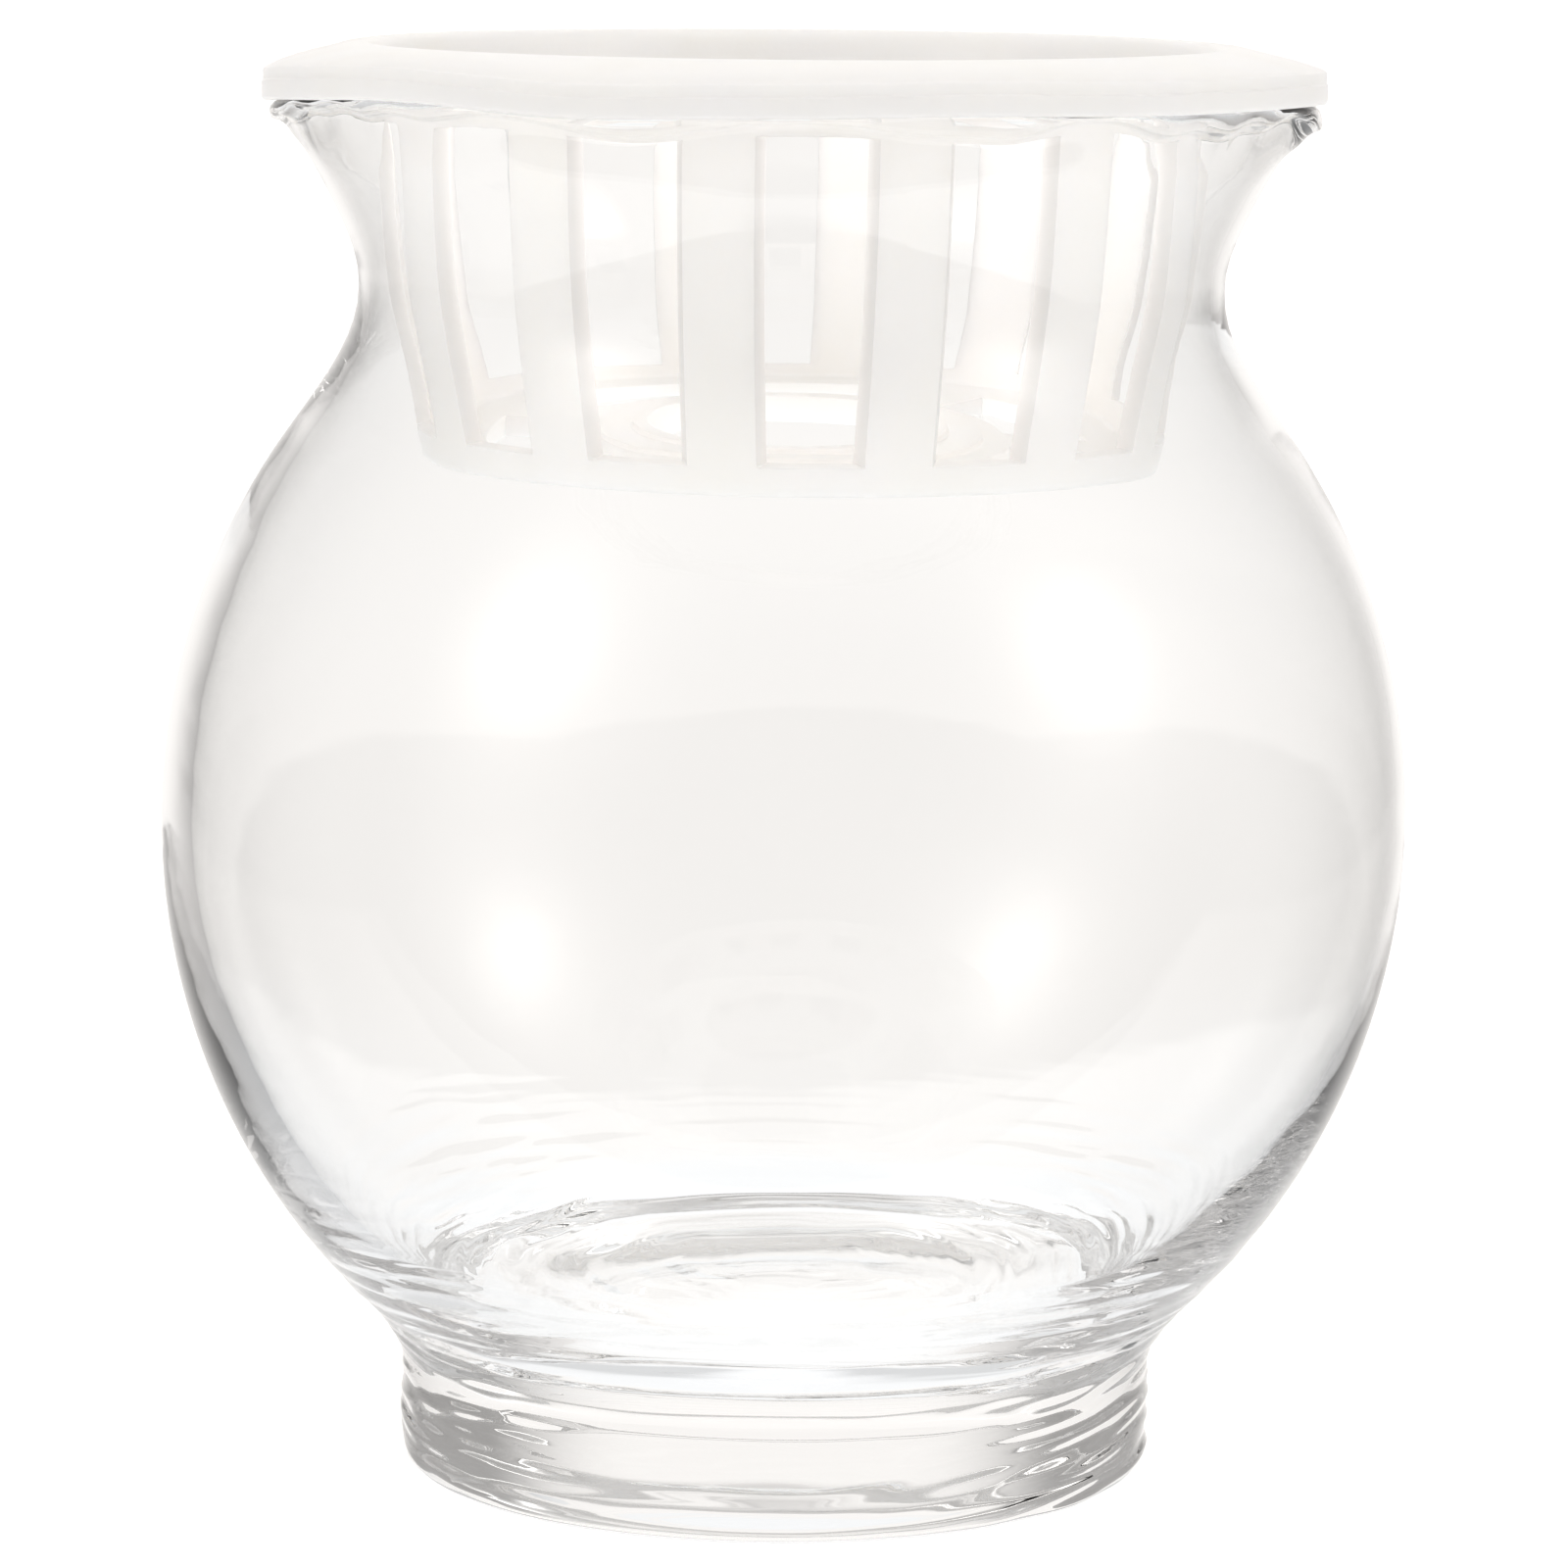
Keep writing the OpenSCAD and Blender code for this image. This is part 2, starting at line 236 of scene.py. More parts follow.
def vase_spacing(r, z):
    """Fine where the glass is streaky or turns tightly, coarse on the plain globe and underneath."""
    upward = (COARSE - FINE) * smoothstep(*GLOBE_COARSENS, z)
    at_lip = (COARSE - LIP_FINE) * smoothstep(*NECK_REFINES, z)
    is_underside = (z < FOOT_RECESS_H + 0.2) & (r < FOOT_R - 2)
    return np.where(is_underside, UNDERSIDE, FINE + upward - at_lip)


def turned(outline, segments):
    """Points and faces of an outline turned about the axis; its first and last points lie on the axis."""
    turn = np.linspace(0, 2 * math.pi, segments, endpoint=False)
    rings = outline[1:-1]
    x = rings[:, :1] * np.cos(turn)
    y = rings[:, :1] * np.sin(turn)
    z = np.repeat(rings[:, 1:], segments, 1)
    points = np.stack([x, y, z], 2).reshape(-1, 3)
    poles = np.array([[0, 0, outline[0, 1]], [0, 0, outline[-1, 1]]])
    first, last = len(points), len(points) + 1
    end = (len(rings) - 1) * segments
    faces = []
    for k in range(len(rings) - 1):
        lower, upper = k * segments, (k + 1) * segments
        for j in range(segments):
            n = (j + 1) % segments
            faces.append((lower + j, lower + n, upper + n, upper + j))
    for j in range(segments):
        n = (j + 1) % segments
        faces.append((first, n, j))
        faces.append((last, end + j, end + n))
    return np.concatenate([points, poles]), faces


# Places round the rim, each (azimuth, half width, height): soft warps that the lip shares with the
# flange resting on it, dips of the lip alone, and swellings of its bead
FLANGE_WARP = [(-90, 14, -0.75), (-47, 15, 0.6), (-22, 10, -0.25), (18, 14, 0.3), (60, 22, 0.1),
               (92, 14, -0.35), (140, 20, 0.3), (185, 20, -0.2), (228, 16, 0.3)]
LIP_DIPS = [(-84, 4, -0.5), (-74, 4, -0.8), (-64, 4, -0.5), (-54, 4, -1.0), (-44, 6, -1.1),
            (-17, 9, -1.2), (15, 8, -1.3), (24, 5, -1.2), (44, 5, -1.5), (54, 5, -1.7), (64, 5, -1.3),
            (84, 7, -1.3), (118, 10, -1.2), (152, 9, -1.1), (190, 11, -1.2), (226, 9, -1.3),
            (262, 8, -0.6)]
LIP_BULGE = [(88, 8, 0.55), (54, 6, 0.2), (-74, 8, 0.15)]

# At the front and back the lip is tucked up and in behind the flange's skirt. The spans are the
# heights at which the lip's changes set in, the heights at which its dips calm down again towards
# its top, and the sines of the turn between which the tuck sets in
LIP_TUCK_UP, LIP_TUCK_IN, TOP_CALM = 0.9, 0.8, 0.9
LIP_SPAN, TOP_SPAN, TUCK_SPAN = (LIP_TOP - 6, LIP_TOP - 1), (LIP_TOP - 1.4, LIP_TOP), (0.05, 0.5)

# The inside of the globe lies this far to the right, so the wall is thicker on the left; the shift
# sets in and dies away between these heights
WALL_SHIFT, SHIFT_IN, SHIFT_OUT = 0.7, (14, 40), (80, 104)

# Depths of the streaks and the foot's mottle, in mm
STREAK_OUTSIDE, STREAK_INSIDE, FOOT_MOTTLE = 0.1, 0.14, 0.11
# Shares of their depth that the streaks keep in the middle of the inside bottom and at the front
MIDDLE_SHARE, FRONT_SHARE = 0.3, 0.2
# Heights between which they fade out: all streaks, those at the front, and the mottle
STREAK_FADE, FRONT_FADE, MOTTLE_FADE = (15, 28), (16, 23), (11, 19)
# Radii between which they set in: near the axis, outside the calm middle, and at the foot's wall
AXIS_SPAN, MIDDLE_SPAN = (0, 12), (15, 24)
WALL_SPAN, MOTTLE_WALL_SPAN = (FOOT_R - 4, FOOT_R - 1), (FOOT_R - 3, FOOT_R - 1)
# How far sideways, from 0 at the front to 1 at the side, they set in
SIDE_SPAN, MOTTLE_SIDE_SPAN = (0.35, 0.85), (0.35, 0.9)
# Streak widths, shortest and longest, in mm
INSIDE_WIDTHS, OUTSIDE_WIDTHS, MOTTLE_WIDTHS = (1.2, 9.0), (1.6, 8.0), (1.0, 3.2)
# The slow warp that bends all streaks: (depth in mm, waves round the glass)
STREAK_WARP = [(1.1, 1), (0.8, 2), (0.5, 5), (0.3, 9)]


def striae(turn, along, seed, widths, most_around=7, count=46):
    """Drawn-out streaks, from -1 to 1: long round the glass, short along its outline, gently warped.

    turn is in radians and along in mm; most_around is the most waves that a streak makes round the glass."""
    random = np.random.default_rng(seed)
    warp = 0
    for depth, waves in STREAK_WARP:
        warp = warp + depth * np.sin(waves * turn + random.uniform(0, 2 * math.pi))
    total = np.zeros_like(along)
    for _ in range(count):
        width = widths[0] * (widths[1] / widths[0]) ** random.uniform()
        around = random.integers(-most_around, most_around + 1)
        phase = random.uniform(0, 2 * math.pi)
        total += width * np.sin(2 * math.pi * (along + warp) / width + around * turn + phase)
    return total / (math.sqrt(count / 2) * widths[1])


def streak_push(turn, along, height, radius, is_inside):
    """How far the streaks move each point square to the glass, in mm.

    They are strongest on the inside bottom and the foot, and gone a quarter of the way up the globe."""
    sideways = np.abs(np.cos(turn))
    at_side = smoothstep(*SIDE_SPAN, sideways)
    is_floor = is_inside & (height < CAVITY_Z + 2)
    amount = np.where(is_inside, STREAK_INSIDE, STREAK_OUTSIDE) * (1 - smoothstep(*STREAK_FADE, height))
    amount *= np.where(is_floor, MIDDLE_SHARE + (1 - MIDDLE_SHARE) * smoothstep(*MIDDLE_SPAN, radius), 1)
    amount *= at_side + FRONT_SHARE * (1 - at_side) * (1 - smoothstep(*FRONT_FADE, height))
    amount *= smoothstep(*AXIS_SPAN, radius) * np.where(is_inside, 1, smoothstep(*WALL_SPAN, radius))
    inside_wave = striae(turn, along, seed=11, widths=INSIDE_WIDTHS)
    outside_wave = striae(turn, along, seed=5, widths=OUTSIDE_WIDTHS)

    mottle = FOOT_MOTTLE * np.where(is_inside, 0, 1 - smoothstep(*MOTTLE_FADE, height))
    mottle *= smoothstep(*MOTTLE_SIDE_SPAN, sideways) * smoothstep(*MOTTLE_WALL_SPAN, radius)
    mottle *= striae(turn, along, seed=23, widths=MOTTLE_WIDTHS, most_around=14)
    return amount * np.where(is_inside, inside_wave, outside_wave) + mottle


def shape_lip(points, turn, is_inside):
    """Moves the lip's points, in place, to its waves, its bead's swellings and its tuck."""
    azimuth = azimuth_of(points)
    at_lip = smoothstep(*LIP_SPAN, points[:, 2])
    under = 1 - TOP_CALM * smoothstep(*TOP_SPAN, points[:, 2])
    tuck = at_lip * smoothstep(*TUCK_SPAN, np.abs(np.sin(turn)))
    waves = under * bumps(azimuth, LIP_DIPS) + bumps(azimuth, FLANGE_WARP)
    swelling = np.where(is_inside, 0, at_lip * under * bumps(azimuth, LIP_BULGE))
    outward = swelling - LIP_TUCK_IN * tuck
    points[:, 0] += outward * np.cos(turn)
    points[:, 1] += outward * np.sin(turn)
    points[:, 2] += at_lip * waves + LIP_TUCK_UP * tuck


def make_vase(material):
    outline = resampled(np.concatenate([outside_outline(), inside_outline()]), vase_spacing)
    lip = int(np.argmax(outline[:, 1]))
    tangent = np.gradient(outline, axis=0)
    tangent /= np.hypot(tangent[:, 0], tangent[:, 1])[:, None]
    steps = np.diff(outline, axis=0)
    along = np.concatenate([[0], np.cumsum(np.hypot(steps[:, 0], steps[:, 1]))])
    last = len(outline) - 1
    ring_of = np.concatenate([np.repeat(np.arange(1, last), SEGMENTS), [0, last]])
    points, faces = turned(outline, SEGMENTS)
    turn = np.arctan2(points[:, 1], points[:, 0])
    is_inside = ring_of > lip
    radius, height = outline[ring_of, 0], outline[ring_of, 1]

    push = streak_push(turn, along[ring_of], height, radius, is_inside)
    points[:, 0] += push * tangent[ring_of, 1] * np.cos(turn)
    points[:, 1] += push * tangent[ring_of, 1] * np.sin(turn)
    points[:, 2] -= push * tangent[ring_of, 0]

    in_globe = smoothstep(*SHIFT_IN, height) * (1 - smoothstep(*SHIFT_OUT, height))
    points[:, 0] += np.where(is_inside, WALL_SHIFT * in_globe, 0)
    shape_lip(points, turn, is_inside)
    points[:, 2] = np.maximum(points[:, 2], 0)
    points[:, 0] += LEAN * (points[:, 2] - OVERALL_H / 2)
    return new_object("glass_vase_blown", points, faces, material)


# ---------------------------------------------------------------- planting basket

WALL = 1.3
RIBS, FIRST_RIB = 14, 260.2
CUP_TOP = OVERALL_H - 3.2
CUP_TOP_R, CUP_BOTTOM_R, CUP_BULGE = 37.7, 33.4, 1.1
CUP_H = CUP_TOP - CUP_BOTTOM
CORNER_R, INNER_CORNER_R = 0.8, 0.4
FLOOR_T = 1.2
MOUTH_R = 38.5
CREASE_Z = OVERALL_H - 1.7
SKIRT_BOTTOM = LIP_TOP + 0.05
SKIRT_ROUND = 0.4
STEP_Z, STEP_W = SKIRT_BOTTOM + 1.9, 0.12
WINDOW_BOTTOM, WINDOW_TOP = 94.6, 123.6
RIB_TOP_W, RIB_BOTTOM_W = 6.3, 6.0
WINDOW_DRAFT = 0.7
FLOOR_HOLE_R, COLLAR_W, COLLAR_H = 13.0, 1.4, 0.7
SLOT_INNER_R, SLOT_OUTER_R, SPOKE_W = 20.0, 27.6, 6.0
LEDGE_R, LEDGE_DRAFT = (FLOOR_HOLE_R + SLOT_INNER_R) / 2 + 1, 0.08
EDGE_ROUND, EDGE_ANGLE = 0.14, 40


def cup_wall(z, depth=0):
    """The point of the cup's outer wall at height z, moved inward along the wall's normal by depth."""
    t = (z - CUP_BOTTOM) / CUP_H
    r = CUP_BOTTOM_R + (CUP_TOP_R - CUP_BOTTOM_R) * t + 4 * CUP_BULGE * t * (1 - t)
    lean = math.atan((CUP_TOP_R - CUP_BOTTOM_R + 4 * CUP_BULGE * (1 - 2 * t)) / CUP_H)
    return np.array([r - depth * math.cos(lean), z + depth * math.sin(lean)])


def basket_stations():
    """Matching points under and over the moulding's wall, from the floor hole out to the skirt's edge.

    Returns the two lists of (r, z) and the station numbers at which slots and windows start and end."""
    under, over = [], []

    def add(lower, upper):
        under.extend(tuple(p) for p in lower)
        over.extend(tuple(p) for p in upper)

    # the floor, from the collar round its hole down two steps and across the slots
    floor_top = CUP_BOTTOM + FLOOR_T
    ledge_top = floor_top + COLLAR_H / 2
    collar_r = FLOOR_HOLE_R + COLLAR_W
    floor = [
        (FLOOR_HOLE_R, floor_top + COLLAR_H), (collar_r, floor_top + COLLAR_H),
        (collar_r + LEDGE_DRAFT, ledge_top), (LEDGE_R, ledge_top),
        (LEDGE_R + LEDGE_DRAFT, floor_top), (SLOT_INNER_R, floor_top),
        ((SLOT_INNER_R + SLOT_OUTER_R) / 2, floor_top), (SLOT_OUTER_R, floor_top),
        (SLOT_OUTER_R + 1.6, floor_top),
    ]
    slots = (5, 7)          # the stations of the slots' inner and outer ends
    add([(r, CUP_BOTTOM) for r, _ in floor], floor)

    # the corner and the cup's wall, up past the windows to the mouth
    inner_r = cup_wall(floor_top, WALL)[0] - INNER_CORNER_R
    add(circle_arc(CUP_BOTTOM_R - CORNER_R, CUP_BOTTOM + CORNER_R, CORNER_R, -90, 0, 4),
        circle_arc(inner_r, floor_top + INNER_CORNER_R, INNER_CORNER_R, -90, 0, 4))
    window_start = len(under)
    heights = np.linspace(WINDOW_BOTTOM, WINDOW_TOP, 17)
    add([cup_wall(z) for z in heights], [cup_wall(z, WALL) for z in heights])
    window_end = len(under) - 1
    shoulder_z = WINDOW_TOP + 1.2
    mouth_in = MOUTH_R - 1.1
    under_top = OVERALL_H - WALL
    add(curve(cup_wall(shoulder_z), (CUP_TOP_R, CUP_TOP),
              (CUP_TOP_R + 0.2, under_top - 0.2), (MOUTH_R + 1.8, under_top - 0.2), 8),
        curve(cup_wall(shoulder_z, WALL), (mouth_in, CUP_TOP + 1.4),
              (mouth_in, OVERALL_H), (MOUTH_R + 0.6, OVERALL_H), 8))

    # the domed flange, its crease and its skirt with a fine step
    skirt_in = FLANGE_R - WALL
    add(curve((FLANGE_R - 5, under_top - 0.7), (FLANGE_R - 3, under_top - 0.9),
              (skirt_in, CREASE_Z - 0.5), (skirt_in, CREASE_Z - 1.1), 6),
        curve((MOUTH_R + 2.6, OVERALL_H - 0.1), (FLANGE_R - 4.4, OVERALL_H - 0.5),
              (FLANGE_R - 2, CREASE_Z + 0.75), (FLANGE_R - 0.45, CREASE_Z + 0.16), 6))
    add([(skirt_in, z) for z in (CREASE_Z - 1.3, STEP_Z - 0.3, STEP_Z - 0.5)],
        [(FLANGE_R - STEP_W, CREASE_Z - 0.12), (FLANGE_R - STEP_W, STEP_Z), (FLANGE_R, STEP_Z - STEP_W)])
    round_z = SKIRT_BOTTOM + SKIRT_ROUND
    add(circle_arc(skirt_in + SKIRT_ROUND, round_z, SKIRT_ROUND, 180, 270, 4),
        circle_arc(FLANGE_R - SKIRT_ROUND, round_z, SKIRT_ROUND, 0, -90, 4))
    return np.array(under), np.array(over), slots, (window_start, window_end)


# Columns in one pitch, from one rib's middle to the next: half a rib, the window and half a rib
RIB_COLUMNS = 3
WINDOW_COLUMNS = 6
PITCH_COLUMNS = 2 * RIB_COLUMNS + WINDOW_COLUMNS
PITCH = 2 * math.pi / RIBS


def pitch_angles(rib_before, rib_after):
    """Angles, from the pitch's start, of its columns; the arguments are half ribs' angles."""
    before = np.linspace(0, rib_before, RIB_COLUMNS, endpoint=False)
    window = np.linspace(rib_before, PITCH - rib_after, WINDOW_COLUMNS, endpoint=False)
    after = np.linspace(PITCH - rib_after, PITCH, RIB_COLUMNS, endpoint=False)
    return np.concatenate([before, window, after])


def column_angles(r, z, is_floor, is_inner):
    """Angles of every column at one station, in radians.

    In the floor every other rib is a spoke between slots, and all ribs widen to full width at the cup."""
    if is_floor:
        rib = RIB_BOTTOM_W / 2 / CUP_BOTTOM_R
        spoke = math.asin(SPOKE_W / 2 / min(r, SLOT_OUTER_R))
        share = float(smoothstep(SLOT_OUTER_R + 1, CUP_BOTTOM_R - 1.5, r))
        half = [spoke + (rib - spoke) * share, rib]
    else:
        up = min(max((z - WINDOW_BOTTOM) / (WINDOW_TOP - WINDOW_BOTTOM), 0), 1)
        width = RIB_BOTTOM_W + (RIB_TOP_W - RIB_BOTTOM_W) * up
        if is_inner:
            width += 2 * WINDOW_DRAFT
        rib = width / 2 / min(r, CUP_TOP_R)
        half = [rib, rib]
    angles = [i * PITCH + pitch_angles(half[i % 2], half[(i + 1) % 2]) for i in range(RIBS)]
    return np.concatenate(angles) + math.radians(FIRST_RIB)


def basket_faces(stations, slots, windows):
    """Faces of the moulding: its underside, its top, and the edges of its openings and rims."""
    columns = RIBS * PITCH_COLUMNS

    def at(side, k, j):
        return (side * stations + k) * columns + j % columns

    def is_hole(k, j):
        if windows[0] <= k < windows[1]:
            return RIB_COLUMNS <= j % PITCH_COLUMNS < RIB_COLUMNS + WINDOW_COLUMNS
        if slots[0] <= k < slots[1]:
            return RIB_COLUMNS <= j % (2 * PITCH_COLUMNS) < 2 * PITCH_COLUMNS - RIB_COLUMNS
        return False

    faces = []
    last = stations - 1
    for k in range(last):
        for j in range(columns):
            if is_hole(k, j):
                continue
            faces.append((at(0, k, j), at(0, k + 1, j), at(0, k + 1, j + 1), at(0, k, j + 1)))
            faces.append((at(1, k, j), at(1, k, j + 1), at(1, k + 1, j + 1), at(1, k + 1, j)))
            if is_hole(k, (j + 1) % columns):
                faces.append((at(0, k, j + 1), at(0, k + 1, j + 1), at(1, k + 1, j + 1), at(1, k, j + 1)))
            if is_hole(k, (j - 1) % columns):
                faces.append((at(0, k + 1, j), at(0, k, j), at(1, k, j), at(1, k + 1, j)))
            if k + 1 < last and is_hole(k + 1, j):
                faces.append((at(0, k + 1, j + 1), at(0, k + 1, j), at(1, k + 1, j), at(1, k + 1, j + 1)))
            if k > 0 and is_hole(k - 1, j):
                faces.append((at(0, k, j), at(0, k, j + 1), at(1, k, j + 1), at(1, k, j)))
    for j in range(columns):
        faces.append((at(0, 0, j + 1), at(0, 0, j), at(1, 0, j), at(1, 0, j + 1)))
        faces.append((at(0, last, j), at(0, last, j + 1), at(1, last, j + 1), at(1, last, j)))
    return faces


def make_basket(material):
    under, over, slots, windows = basket_stations()
    points = []
    for outline, is_over in ((under, False), (over, True)):
        for k, (r, z) in enumerate(outline):
            is_inner = is_over and windows[0] <= k <= windows[1]
            a = column_angles(r, z, k < windows[0], is_inner)
            points.append(np.stack([r * np.cos(a), r * np.sin(a), np.full(len(a), z)], 1))
    points = np.concatenate(points)
    faces = basket_faces(len(under), slots, windows)

    radius = np.hypot(points[:, 0], points[:, 1])
    on_flange = smoothstep(MOUTH_R + 1, FLANGE_R - 3, radius)
    points[:, 2] += on_flange * bumps(azimuth_of(points), FLANGE_WARP)
    points[:, 2] = np.minimum(points[:, 2], OVERALL_H - TOP_ROOM)
    points[:, 0] += LEAN * (points[:, 2] - OVERALL_H / 2)
    basket = new_object("planting_basket_moulded", points, faces, material)
    remove_loose(basket)
    bevel = basket.modifiers.new("edge_rounds", "BEVEL")
    bevel.width = EDGE_ROUND * MM
    bevel.segments = 2
    bevel.limit_method = "ANGLE"
    bevel.angle_limit = math.radians(EDGE_ANGLE)
    bevel.harden_normals = True
    return basket


def remove_loose(obj):
    """Deletes the vertices that no face uses, such as those inside the windows."""
    mesh = bmesh.new()
    mesh.from_mesh(obj.data)
    loose = [vertex for vertex in mesh.verts if not vertex.link_faces]
    bmesh.ops.delete(mesh, geom=loose, context="VERTS")
    bmesh.ops.recalc_face_normals(mesh, faces=mesh.faces)
    mesh.to_mesh(obj.data)
    mesh.free()


# ---------------------------------------------------------------- node helpers

class Nodes:
    """The nodes of one node tree; a value is a number, a tuple or another node's output."""

    def __init__(self, tree):
        self.nodes = tree.nodes
        self.links = tree.links

    def new(self, kind):
        return self.nodes.new("ShaderNode" + kind)

    def put(self, value, socket):
        if isinstance(value, bpy.types.NodeSocket):
            self.links.new(value, socket)
        else:
            socket.default_value = value

    def maths(self, operation, *values):
        node = self.new("Math")
        node.operation = operation
        for value, socket in zip(values, node.inputs):
            self.put(value, socket)
        return node.outputs[0]

    def vector(self, operation, *values):
        node = self.new("VectorMath")
        node.operation = operation
        for value, socket in zip(values, node.inputs):
            self.put(value, socket)
        return node.outputs["Value" if operation == "DOT_PRODUCT" else "Vector"]

    def ramp(self, value, span, start=0.0, end=1.0):
        """A smooth change from start to end while value goes over the span."""
        node = self.new("MapRange")
        node.interpolation_type = "SMOOTHSTEP"
        node.inputs["From Min"].default_value = span[0]
        node.inputs["From Max"].default_value = span[1]
        node.inputs["To Min"].default_value = start
        node.inputs["To Max"].default_value = end
        self.links.new(value, node.inputs["Value"])
        return node.outputs["Result"]

    def mix(self, low, high, share):
        change = self.maths("MULTIPLY", self.maths("SUBTRACT", high, low), share)
        return self.maths("ADD", low, change)

    def mix_colours(self, a, b, share):
        node = self.new("Mix")
        node.data_type = "RGBA"
        self.put(a, node.inputs["A"])
        self.put(b, node.inputs["B"])
        self.put(share, node.inputs["Factor"])
        return node.outputs["Result"]

    def noise(self, scale, detail, stretch=(1, 1, 1)):
        """A noise texture over object coordinates, in metres."""
        mapping = self.new("Mapping")
        mapping.inputs["Scale"].default_value = stretch
        texture = self.new("TexNoise")
        texture.inputs["Scale"].default_value = scale
        texture.inputs["Detail"].default_value = detail
        self.links.new(self.new("TexCoord").outputs["Object"], mapping.inputs["Vector"])
        self.links.new(mapping.outputs["Vector"], texture.inputs["Vector"])
        return texture.outputs["Fac"]

    def bump(self, height, strength, distance):
        node = self.new("Bump")
        node.inputs["Strength"].default_value = strength
        node.inputs["Distance"].default_value = distance
        self.links.new(height, node.inputs["Height"])
        return node.outputs["Normal"]


# ---------------------------------------------------------------- materials

def new_material(name, **values):
    """A material with the given values on its shader's own sockets, its nodes and its shader."""
    material = bpy.data.materials.new(name)
    material.use_nodes = True
    shader = material.node_tree.nodes["Principled BSDF"]
    for socket, value in values.items():
        shader.inputs[socket.replace("_", " ")].default_value = value
    return material, Nodes(material.node_tree), shader


def glass_material():
    """Clear soda-lime glass, faintly green in depth, with a barely uneven blown surface."""
    material, nodes, shader = new_material(
        "blown_glass", Base_Color=(0.995, 0.998, 0.997, 1), Transmission_Weight=1, IOR=1.51, Roughness=0)
    unevenness = nodes.noise(scale=45, detail=2, stretch=(1, 1, 2.5))
    nodes.put(nodes.bump(unevenness, strength=0.13, distance=0.0004), shader.inputs["Normal"])
    return material


CLOUD_DARK, CLOUD_LIGHT = (0.967, 0.908, 0.867, 1), (0.996, 0.951, 0.918, 1)
# The edge colour is painted shade, laid on the cut edges of the ribs and slots to darken them
SPECK_COLOUR, EDGE_SHADE_COLOUR = (0.16, 0.13, 0.11, 1), (0.77, 0.765, 0.76, 1)
SPECKS_PER_METRE, SPECK_CHANCE, SPECK_SIZE = 110, 0.05, 0.018


def flow_clouds(nodes):
    """The plastic's own colour, cloudy from the moulding's flow."""
    tint = nodes.new("ValToRGB")
    dark, light = tint.color_ramp.elements
    dark.position, light.position = 0.3, 0.7
    dark.color, light.color = CLOUD_DARK, CLOUD_LIGHT
    nodes.put(nodes.noise(scale=90, detail=3, stretch=(1, 1, 0.35)), tint.inputs["Fac"])
    return tint.outputs["Color"]


def specks(nodes, where):
    """1 inside a few small dark specks and 0 elsewhere: some cells of a Voronoi texture have one."""
    cells = nodes.new("TexVoronoi")
    cells.inputs["Scale"].default_value = SPECKS_PER_METRE
    nodes.put(where, cells.inputs["Vector"])
    chance = nodes.new("SeparateColor")
    nodes.put(cells.outputs["Color"], chance.inputs["Color"])
    is_chosen = nodes.maths("LESS_THAN", chance.outputs["Red"], SPECK_CHANCE)
    is_near = nodes.maths("LESS_THAN", cells.outputs["Distance"], SPECK_SIZE)
    return nodes.maths("MULTIPLY", is_chosen, is_near)


def painted_edge_shade(nodes, where):
    """1 on the edges of the ribs and slots, which face round the basket, and 0 on its walls: the mask for
    painted shade on these edges.
    """
    around = nodes.vector("NORMALIZE", nodes.vector("CROSS_PRODUCT", (0, 0, 1), where))
    normal = nodes.new("NewGeometry").outputs["Normal"]
    facing = nodes.maths("ABSOLUTE", nodes.vector("DOT_PRODUCT", around, normal))
    return nodes.ramp(facing, (0.35, 0.75))


def plastic_material():
    """Undyed polypropylene: milky, satin, cloudy, with a few dark specks, and painted shade that darkens its
    cut edges.
    """
    material, nodes, shader = new_material(
        "natural_polypropylene", Roughness=0.36, IOR=1.49, Subsurface_Weight=1,
        Subsurface_Radius=(1, 0.97, 0.93), Subsurface_Scale=0.0035)
    where = nodes.new("TexCoord").outputs["Object"]
    colour = nodes.mix_colours(flow_clouds(nodes), SPECK_COLOUR, specks(nodes, where))
    # painted shade: the cut edges of the ribs and slots are darkened towards the edge colour
    colour = nodes.mix_colours(colour, EDGE_SHADE_COLOUR, painted_edge_shade(nodes, where))
    nodes.put(colour, shader.inputs["Base Color"])
    grain = nodes.noise(scale=1800, detail=3)
    nodes.put(nodes.bump(grain, strength=0.2, distance=0.00005), shader.inputs["Normal"])
    return material


# ---------------------------------------------------------------- light and floor
#
# The world's light depends on a ray's direction and on the path that it has taken. Below, facing is
# 1 straight behind the object and -1 towards the camera, and z is 1 straight up. Each span is the
# pair of such values between which one level gives way to the next.

# Levels that reflections see: the backdrop, the walls beside it, the room and the ceiling
BACKDROP, SIDES, ROOM, OVERHEAD = 1.03, 0.38, 0.1, 0.6
BACKDROP_SPAN, ROOM_SPAN, CEILING_SPAN = (0.98, 0.8), (0.1, -0.3), (0.5, 0.95)

# The table: its level far off and steeply down, and how near its front and its ends are
TABLE_LOW, TABLE_STEEP, TABLE_SPAN = 0.5, 0.74, (-0.25, -0.6)
TABLE_FRONT, TABLE_ENDS, TABLE_EDGE_SPAN = 1.6, 0.22, (-0.012, 0.02)

# The same for light that has passed through the glass more than twice
DEEP_ROOM, DEEP_SIDES, DEEP_TABLE, DEEP_TABLE_FRONT = 0.35, 0.32, 0.88, 0.25

# Straight through the glass: a bright surround, a little more on the table nearby and high up
SURROUND, SURROUND_SPAN = 1.0, (0.9, 0.3)
TABLE_NEAR, NEAR_SPAN = 0.08, (-0.262, -0.274)
UPPER_LIFT, UPPER_SPAN = 0.02, (-0.095, -0.075)

# Two lamps: (azimuth, elevation) in degrees, and each part's (strength, width in degrees)
LAMPS = [(-55, 29), (64, 27)]
LAMP_CORE, LAMP_GLOW = (1.8, 9), (1.3, 20)

